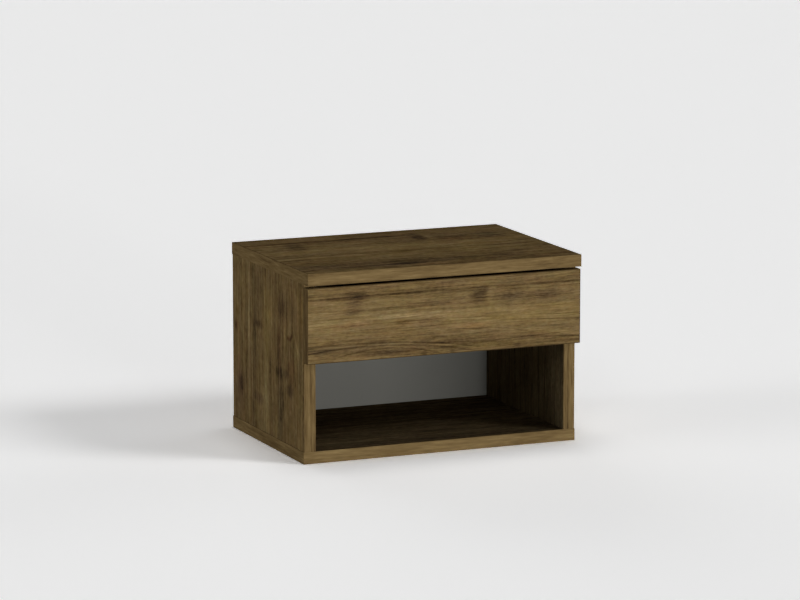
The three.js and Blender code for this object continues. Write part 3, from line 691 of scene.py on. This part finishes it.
# The piece stands for the node and moves with its body
def seat(piece, node):
    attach(piece, bodyOf[node])
    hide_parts(node)


# Paints the finished piece, shades it and seats it
def finishPiece(piece, node, choices):
    piece.name = node + "_dressed"
    paint(piece, choices)
    pick(piece)
    bpy.ops.object.shade_smooth_by_angle(angle=meshwork["smooth"])
    seat(piece, node)


# Axis is the one that the board's faces look along; the decor reaches faceDepth under them, in mm
faceDepth = 0.4
boards = {
    "top_panel": {"axis": 2, "face": "top"},
    "base_panel": {"axis": 2, "face": "base"},
    "left_side_panel": {"axis": 0, "face": "leftSide"},
    "right_side_panel": {"axis": 0, "face": "rightSide", "inside": "shelfWallReflectionTint"},
    "hanging_rail": {"axis": 1, "face": "rail"},
    "drawer_front": {"axis": 1, "face": "drawerFront"},
}
for node, board in boards.items():
    low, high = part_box(node)
    axis = board["axis"]

    def isFace(centre, normal):
        under = min(centre[axis] - low[axis], high[axis] - centre[axis])
        return abs(normal[axis]) > meshwork["facing"] and under < faceDepth * mm

    def isInside(centre, normal):
        return "inside" in board and isFace(centre, normal) and normal.x < 0

    piece = takeCopy(node)
    breakEdges(piece, edgeWidths["board"], 1)
    inside = board.get("inside", board["face"])
    finishPiece(piece, node, [("chipboard", None), (board["face"], isFace), (inside, isInside)])
print("boards dressed:", len(boards))

for node in ("left_drawer_side", "right_drawer_side", "drawer_back"):
    piece = takeCopy(node)
    breakEdges(piece, edgeWidths["drawerBox"])
    finishPiece(piece, node, [("pale", None)])
for node, hidden in (("back_panel", Vector((0, 1, 0))), ("drawer_bottom", Vector((0, 0, -1)))):
    piece = takeCopy(node)
    breakEdges(piece, edgeWidths["thinBoard"], 1)
    finishPiece(piece, node, [
        ("greyFace", None),
        ("brownFace", lambda centre, normal: normal.dot(hidden) > meshwork["facing"]),
    ])
print("drawer box and backs dressed")

# Bands: the outer corners are rounded as a trimmed band's are, and the edges against the board just broken
bandLook = {"round": 0.45, "roundSteps": 3, "flush": 0.12, "endShare": 0.9}
rear = (1, 1)


# The sides of the box that both ends of an edge lie on, as (axis, 0 for the low or 1 for the high one)
def sidesShared(a, b, box):
    return [
        (axis, far) for axis in range(3) for far in (0, 1)
        if all(abs(end[axis] - box[far][axis]) < meshwork["touching"] for end in (a, b))
    ]


def dressBand(node, choices):
    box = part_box(node)

    def isFlush(a, b):
        sides = sidesShared(a, b, box)
        return not sides or (sides == [rear] and node != "drawer_front_edge_band")

    def isCorner(a, b):
        sides = sidesShared(a, b, box)
        return len(sides) >= 2 and rear not in sides

    piece = takeCopy(node)
    breakEdges(piece, bandLook["flush"], 1, isFlush)
    breakEdges(piece, bandLook["round"], bandLook["roundSteps"], isCorner)
    finishPiece(piece, node, [("bandCore", None), *choices])


def isFront(centre, normal):
    return normal.y < -meshwork["facing"]


def isEnd(centre, normal):
    return abs(normal.x) > meshwork["facing"]


for node, finish in (("top_edge_band", "bandAcross"), ("base_edge_band", "bandLow")):
    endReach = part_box(node)[1].x - bandWidth * bandLook["endShare"]
    dressBand(node, [
        (finish, isFront),
        ("bandBack", lambda centre, normal: isEnd(centre, normal) and abs(centre.x) > endReach),
    ])
for node in ("left_side_edge_band", "right_side_edge_band"):
    dressBand(node, [("bandUp", isFront)])
dressBand("drawer_front_edge_band", [
    ("bandAcross", lambda centre, normal: abs(normal.z) > meshwork["facing"]), ("bandEndPaintedShade", isEnd),
])
print("bands dressed")


# Fittings are modelled once at the origin, slotted or threaded end up the Z axis, and copied to their spots.
# This is a round piece from (height, radius) steps in mm, going up or down its axis
def turnedPiece(profile, count):
    height, radius = profile[0]
    deselectAll()
    bpy.ops.mesh.primitive_circle_add(
        vertices=count, radius=radius * mm, fill_type="NGON", location=(0, 0, height * mm))
    piece = settle()
    edit(piece, "FACE", "SELECT")
    for nextHeight, nextRadius in profile[1:]:
        extrude((0, 0, (nextHeight - height) * mm))
        shrink(nextRadius / radius, nextHeight * mm)
        height, radius = nextHeight, nextRadius
    closeUp()
    return piece


# Cross recess in the flat end at height 0: reach, width and depth in mm, narrowing to its bottom
def crossCut(piece, cut):
    reach, half, depth = cut["reach"] * mm, cut["width"] * mm / 2, cut["depth"] * mm

    def isTop(centre, normal):
        return normal.z > meshwork["square"] and abs(centre.z) < meshwork["level"]

    def inCross(centre, normal):
        inX = abs(centre.x) < half and abs(centre.y) < reach
        inY = abs(centre.y) < half and abs(centre.x) < reach
        return isTop(centre, normal) and (inX or inY)

    for axis in ((1, 0, 0), (0, 1, 0)):
        for place in (-reach, -half, half, reach):
            selectFaces(piece, isTop)
            bpy.ops.mesh.bisect(plane_co=[part * place for part in axis], plane_no=axis)
    selectFaces(piece, inCross)
    extrude((0, 0, -depth))
    shrink(cut["narrowing"], -depth)
    leaveEdit()


# A helical ridge round the core, from low to high in mm. It is a wound triangle, sized and set in by shares of
# the ridge's height
winding = {"steps": 16, "size": 0.9, "offset": 0.1}


def addThread(piece, thread):
    pitch, core, ridge = thread["pitch"], thread["core"], thread["outer"] - thread["core"]
    deselectAll()
    bpy.ops.mesh.primitive_circle_add(
        vertices=3, radius=ridge * winding["size"] * mm, fill_type="NOTHING",
        location=((core + ridge * winding["offset"]) * mm, 0, thread["low"] * mm),
        rotation=(math.pi / 2, math.pi / 2, 0))
    coil = settle()
    turns = coil.modifiers.new("winding", "SCREW")
    turns.steps = turns.render_steps = winding["steps"]
    turns.screw_offset = pitch * mm
    turns.iterations = int((thread["high"] - thread["low"]) / pitch)
    bpy.ops.object.modifier_apply(modifier=turns.name)
    edit(coil, action="SELECT")
    bpy.ops.mesh.fill_holes(sides=3)
    closeUp()
    joinTo(piece, [coil])


def joinTo(piece, parts):
    pick(piece)
    for part in parts:
        part.select_set(True)
    bpy.ops.object.join()


# Cuts the cutter out of the piece, or joins it to the piece
def cutAway(piece, cutter, way="DIFFERENCE"):
    pick(piece)
    tool = piece.modifiers.new("cut", "BOOLEAN")
    tool.operation = way
    tool.solver = "EXACT"
    tool.object = cutter
    bpy.ops.object.modifier_apply(modifier=tool.name)
    bpy.data.objects.remove(cutter, do_unlink=True)


def blockPiece(low, high):
    deselectAll()
    middle = [(a + b) / 2 for a, b in zip(low, high)]
    bpy.ops.mesh.primitive_cube_add(size=1, location=middle, scale=[b - a for a, b in zip(low, high)])
    return settle()


# The front and the rear one of two like fittings, or others as ends says, each as (name, out, toward)
def pair(name, out, toward, ends=("front", "rear")):
    return [(name + "_" + end, out, toward) for end in ends]


# Copies the model to both sides; the spots are the left side's, and the right side's mirror them.
# Its origin goes to the far end of each node along out, less the overshoot in mm
def copyToSpots(model, spots, material, overshoot=0.0):
    pick(model)
    bpy.ops.object.shade_smooth_by_angle(angle=meshwork["smooth"])
    model.data.materials.clear()
    model.data.materials.append(materials[material])
    for name, *directions in spots:
        for side, flip in (("left_", 1), ("right_", -1)):
            node = side + name
            out, toward = [Vector((d[0] * flip, d[1], d[2])) for d in directions]
            low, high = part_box(node)
            reach = sum(abs(o) * (h - l) / 2 for o, l, h in zip(out, low, high))
            turned = Matrix((toward.cross(out), toward, out)).transposed().to_4x4()
            turned.translation = (low + high) / 2 + out * (reach - overshoot * mm)
            made = model.copy()
            made.data = model.data.copy()
            made.name = node + "_fitting"
            bpy.context.scene.collection.objects.link(made)
            made.data.transform(turned)
            seat(made, node)
    bpy.data.objects.remove(model, do_unlink=True)


# Corners of the round fittings
corners = {"screw": 28, "bolt": 24, "cam": 40, "lever": 32}

# Screws, each measured down from the top of its head, in mm
slideScrew = {
    "cut": {"reach": 1.7, "width": 1.0, "depth": 1.2, "narrowing": 0.6},
    "thread": {"core": 1.1, "outer": 1.6, "pitch": 1.3, "high": -4.4},
}
screwKinds = {
    "base": {
        "profile": [
            (0, 4.7), (-0.35, 5), (-1, 5), (-3.4, 3.5), (-14, 3.5), (-14.4, 2.1), (-45, 2.1), (-49, 0.9), (-50, 0.5)
        ],
        "cut": {"reach": 2.3, "width": 1.5, "depth": 2.6, "narrowing": 0.6},
        "thread": {"core": 2.1, "outer": 3.0, "pitch": 2.6, "low": -47, "high": -15},
        "spots": pair("base_screw", (0, 0, -1), (1, 0, 0)),
    },
    "drawer back": {
        "profile": [
            (0, 3.6), (-0.2, 3.8), (-0.6, 3.8), (-3, 2.5), (-11, 2.4), (-11.4, 1.5), (-35, 1.5), (-37.5, 0.6),
            (-38, 0.3)
        ],
        "cut": {"reach": 1.8, "width": 1.1, "depth": 2, "narrowing": 0.6},
        "thread": {"core": 1.5, "outer": 2.2, "pitch": 1.9, "low": -36, "high": -12},
        "spots": pair("drawer_back_screw", (-1, 0, 0), (0, 0, 1), ("lower", "upper")),
    },
    "cabinet slide": {
        "profile": [
            (0, 3.5), (-0.15, 3.7), (-0.3, 3.7), (-2.5, 1.8), (-4, 1.7), (-4.2, 1.1), (-12.5, 1.1), (-14.6, 0.4),
            (-15, 0.2)
        ],
        "cut": slideScrew["cut"],
        "thread": {**slideScrew["thread"], "low": -13.4},
        "spots": pair("cabinet_member_screw", (1, 0, 0), (0, 0, 1)),
    },
    "drawer slide": {
        "profile": [
            (0, 2.5), (-0.35, 3.1), (-0.8, 3.4), (-2, 3.4), (-2, 1.8), (-4, 1.7), (-4.2, 1.1), (-10.5, 1.1),
            (-12.6, 0.4), (-13, 0.2)
        ],
        "cut": slideScrew["cut"],
        "thread": {**slideScrew["thread"], "low": -11.4},
        "spots": pair("drawer_member_screw", (-1, 0, 0), (0, 0, 1)),
    },
}
for kind in screwKinds.values():
    piece = turnedPiece(kind["profile"], corners["screw"])
    crossCut(piece, kind["cut"])
    addThread(piece, kind["thread"])
    copyToSpots(piece, kind["spots"], "zinc")
print("screws placed")

# Cam bolts: the joint between the two boards is at height 0
bolt = {
    "profile": [
        (-25.2, 2.8), (-24.9, 3.15), (-23.1, 3.15), (-22.8, 2.8), (-22.4, 2.1), (-19.8, 2.1), (-19.4, 3.1),
        (-18.9, 3.5), (-3, 3.5), (-2.7, 3.2), (-2.2, 3.2), (-1.9, 3.5), (-0.3, 3.5), (-0.1, 1.9), (10, 1.9), (11, 1.2)
    ],
    "thread": {"core": 1.9, "outer": 2.8, "pitch": 2.0, "low": 0.6, "high": 9.8},
    "threadEnd": 11,
    "spots": [
        *pair("top_bolt", (0, 0, 1), (1, 0, 0)),
        ("rail_bolt", (-1, 0, 0), (0, 0, 1)), ("drawer_bolt", (0, -1, 0), (0, 0, 1)),
    ],
}
piece = turnedPiece(bolt["profile"], corners["bolt"])
addThread(piece, bolt["thread"])
copyToSpots(piece, bolt["spots"], "zinc", bolt["threadEnd"])
print("cam bolts placed")

# Cams: the slotted face is at height 0, and the bolt comes in along Y. Each kind is for a board's thickness
cam = {
    "radius": 7.5, "rim": 0.5, "chamfer": 1, "past": 3.5, "pocket": 3.6, "bolt": 2.4, "beyond": 1,
    "cut": {"reach": 3.5, "width": 1.4, "depth": 1.4, "narrowing": 0.85},
    "kinds": {
        18: [*pair("top_cam", (1, 0, 0), (0, 0, 1)), ("rail_cam", (0, -1, 0), (-1, 0, 0))],
        12: [("drawer_cam", (1, 0, 0), (0, -1, 0))],
    },
}
for board, spots in cam["kinds"].items():
    depth = board / 2 + cam["past"]
    radius = cam["radius"]
    neck = radius - cam["rim"]
    piece = turnedPiece([
        (-depth, radius - cam["chamfer"]), (cam["chamfer"] - depth, radius), (-4.4, radius), (-4.2, neck),
        (-3.4, neck), (-3.2, radius), (-cam["rim"], radius), (0, neck)
    ], corners["cam"])
    crossCut(piece, cam["cut"])
    cutAway(piece, blockPiece(
        (-cam["pocket"] * mm, -cam["bolt"] / 2 * mm, -(depth + cam["beyond"]) * mm),
        (cam["pocket"] * mm, (radius + cam["beyond"]) * mm, (cam["pocket"] - board / 2) * mm)))
    copyToSpots(piece, spots, "castZinc")
print("cams placed")

# Slide members keep their channels, with their bends and edges rounded
for side in ("left_", "right_"):
    for member in ("cabinet_member", "intermediate_member", "drawer_member"):
        piece = takeCopy(side + member)
        breakEdges(piece, edgeWidths["slide"])
        finishPiece(piece, side + member, [("zinc", None)])

# Ball cages: a thin bent strip with balls in each edge, each held by a raised collar, in mm
cageLook = {
    "strip": 0.5, "round": 0.12, "balls": 10, "margin": 5.0, "gap": 0.2, "collar": 0.35, "sunk": 0.05,
    "ballRadius": {"outer": 1.95, "inner": 1.7},
}
for kind, radius in cageLook["ballRadius"].items():
    for side, inward in (("left_", 1), ("right_", -1)):
        node = side + kind + "_ball_cage"
        low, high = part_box(node)
        web, tip = (low.x, high.x) if inward > 0 else (high.x, low.x)
        ballX = tip - inward * (radius + cageLook["gap"]) * mm
        strip = cageLook["strip"] * mm
        webEnd = web + inward * strip
        middle = (low.z + high.z) / 2
        ballHeight = (high.z - low.z) / 2 - radius * mm
        edgeOut, edgeIn = ballHeight + strip / 2, ballHeight - strip / 2
        near, far = sorted((web, webEnd))
        piece = blockPiece((near, low.y, middle - edgeOut), (far, high.y, middle + edgeOut))
        for height in (middle - edgeIn, middle + edgeIn):
            edit(piece, action="SELECT")
            bpy.ops.mesh.bisect(plane_co=(0, 0, height), plane_no=(0, 0, 1))
        selectFaces(piece, lambda centre, normal: (
            normal.x * inward > meshwork["square"] and abs(centre.z - middle) > edgeIn))
        extrude((tip - webEnd, 0, 0))
        closeUp()
        breakEdges(piece, cageLook["round"], 1)
        parts = []
        first, last = low.y + cageLook["margin"] * mm, high.y - cageLook["margin"] * mm
        for place in range(cageLook["balls"]):
            y = first + (last - first) * place / (cageLook["balls"] - 1)
            for height in (middle - ballHeight, middle + ballHeight):
                deselectAll()
                bpy.ops.mesh.primitive_ico_sphere_add(subdivisions=3, radius=radius * mm, location=(ballX, y, height))
                parts.append(bpy.context.active_object)
                deselectAll()
                bpy.ops.mesh.primitive_torus_add(
                    major_radius=(radius - cageLook["sunk"]) * mm, minor_radius=cageLook["collar"] * mm,
                    major_segments=20, minor_segments=6, location=(ballX, y, height))
                parts.append(bpy.context.active_object)
        joinTo(piece, parts)
        pick(piece)
        settle()
        finishPiece(piece, node, [("zinc", None)])
print("slides dressed")

# Release lever: hub, flat arm, finger pad and hooked tail, about the rivet, in mm
leverLook = {
    "half": 2.2, "hub": 4.8, "pad": 3.4, "arm": 34, "hook": 5.0, "hookLength": 4.0, "rivet": 2.1, "through": 2,
    "round": 0.3, "thin": 0.35,
}
for side in ("left_", "right_"):
    node = side + "release_lever"
    low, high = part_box(node)
    memberLow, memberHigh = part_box(side + "drawer_member")
    padY = high.y - leverLook["pad"] * mm
    pivotY = padY - leverLook["arm"] * mm
    pivotZ = (memberLow.z + memberHigh.z) / 2

    def acrossRod(radius, y, extra=0.0):
        deselectAll()
        bpy.ops.mesh.primitive_cylinder_add(
            vertices=corners["lever"], radius=radius * mm, depth=high.x - low.x + 2 * extra * mm,
            location=((low.x + high.x) / 2, y, pivotZ), rotation=(0, math.pi / 2, 0))
        return settle()

    thin, half = leverLook["thin"] * mm, leverLook["half"] * mm
    hookEnd = low.y + leverLook["hookLength"] * mm
    piece = blockPiece((low.x + thin, low.y, pivotZ - half), (high.x - thin, padY, pivotZ + half))
    edit(piece, action="SELECT")
    bpy.ops.mesh.bisect(plane_co=(0, hookEnd, 0), plane_no=(0, 1, 0))
    selectFaces(piece, lambda centre, normal: normal.z < -meshwork["square"] and centre.y < hookEnd)
    extrude((0, 0, (leverLook["half"] - leverLook["hook"]) * mm))
    closeUp()
    cutAway(piece, acrossRod(leverLook["hub"], pivotY), "UNION")
    cutAway(piece, acrossRod(leverLook["pad"], padY), "UNION")
    cutAway(piece, acrossRod(leverLook["rivet"], pivotY, leverLook["through"]))
    breakEdges(piece, leverLook["round"])
    finishPiece(piece, node, [("plastic", None)])
print("levers dressed")

# Floor, sky, lamps and camera
stageLook = {
    "size": 60.0,
    "paint": 0.55,
    "seenPaint": 1.61,
    "seenGlow": 0.062,
    "backdrop": srgb(233, 233, 233),
    "dome": 0.0,
    "lampDistance": 3,
}
# Each lamp's azimuth, elevation and spread in degrees, and its strength
lampLook = {
    "keyLamp": (49.5, 33.5, 20, 0.265),
    "leftLamp": (-95, 2, 28, 0.5),
    "overheadLamp": (180, 85, 30, 0.175),
    "leftFrontLamp": (-35, 30, 16, 0.05),
    "rearLamp": (180, 15, 40, 0.16),
    "rightLamp": (110, 10, 40, 0.13),
}
# Low in front, most of it straight ahead and the rest spread to the right, so the back panel darkens softly that way
for azimuth, strength in ((0, 0.5), (8, 0.14), (15, 0.12), (22, 0.12), (29, 0.1)):
    lampLook["frontLamp" + str(azimuth)] = (azimuth, 0.6, 8, strength)
cameraLook = {
    "lens": 191.25, "sensor": 36.0, "yaw": 23.15, "pitch": 10.27, "distance": 6.299,
    "target": (-0.0159, -0.0175, 0.2089), "farthest": 200,
}


# 1 for rays that come straight from the camera, or by a mirror or a glass
def cameraRays(tree):
    rays = addNode(tree, "LightPath").outputs
    seen = calc(tree, "MAXIMUM", rays["Is Camera Ray"], rays["Is Glossy Ray"])
    return calc(tree, "MAXIMUM", seen, rays["Is Transmission Ray"])


def makeFloor():
    deselectAll()
    bpy.ops.mesh.primitive_plane_add(size=stageLook["size"], location=(0, 0, 0))
    floor = bpy.context.active_object
    floor.name = "floor"
    material, tree, shader = newMaterial("pale floor")
    tree.nodes.remove(shader)
    plain, bright = [
        addNode(tree, "BsdfDiffuse", (stageLook[key],) * 3 + (1,)).outputs[0] for key in ("paint", "seenPaint")
    ]
    glow = addNode(tree, "Emission", (1, 1, 1, 1), stageLook["seenGlow"]).outputs[0]
    seen = addNode(tree, "AddShader", bright, glow).outputs[0]
    both = addNode(tree, "MixShader", cameraRays(tree), plain, seen).outputs[0]
    plug(tree, both, tree.nodes["Material Output"].inputs["Surface"])
    floor.data.materials.append(material)


def makeSky():
    world = bpy.data.worlds.new("pale studio")
    world.use_nodes = True
    tree = world.node_tree
    light = tree.nodes["Background"]
    light.inputs["Color"].default_value = (1, 1, 1, 1)
    light.inputs["Strength"].default_value = stageLook["dome"]
    seen = addNode(tree, "Background", stageLook["backdrop"], 1.0)
    both = addNode(tree, "MixShader", cameraRays(tree), light.outputs[0], seen.outputs[0]).outputs[0]
    plug(tree, both, tree.nodes["World Output"].inputs["Surface"])
    bpy.context.scene.world = world


# Direction from the object to a lamp or the camera; azimuth 0 is straight in front, positive to the right
def towards(azimuth, elevation):
    turn, lift = math.radians(azimuth), math.radians(elevation)
    return Vector((math.sin(turn) * math.cos(lift), -math.cos(turn) * math.cos(lift), math.sin(lift)))


# Puts a lamp or the camera out along direction from target, looking back at it
def hang(name, data, direction, distance, target=(0, 0, 0)):
    holder = bpy.data.objects.new(name, data)
    holder.location = Vector(target) + direction * distance
    holder.rotation_euler = (-direction).to_track_quat("-Z", "Y").to_euler()
    bpy.context.scene.collection.objects.link(holder)
    return holder


def makeLamps():
    for name, (azimuth, elevation, spread, strength) in lampLook.items():
        lamp = bpy.data.lights.new(name, "SUN")
        lamp.energy = strength * math.pi
        lamp.angle = math.radians(spread)
        hang(name, lamp, towards(azimuth, elevation), stageLook["lampDistance"])


def makeCamera():
    lens = bpy.data.cameras.new("camera")
    lens.sensor_fit = "HORIZONTAL"
    lens.sensor_width = cameraLook["sensor"]
    lens.lens = cameraLook["lens"]
    lens.clip_end = cameraLook["farthest"]
    direction = towards(-cameraLook["yaw"], cameraLook["pitch"])
    camera = hang("camera", lens, direction, cameraLook["distance"], cameraLook["target"])
    bpy.context.scene.camera = camera


makeFloor()
makeSky()
makeLamps()
makeCamera()
bpy.context.scene.view_settings.view_transform = "Standard"
print("floor, sky, lamps and camera set")
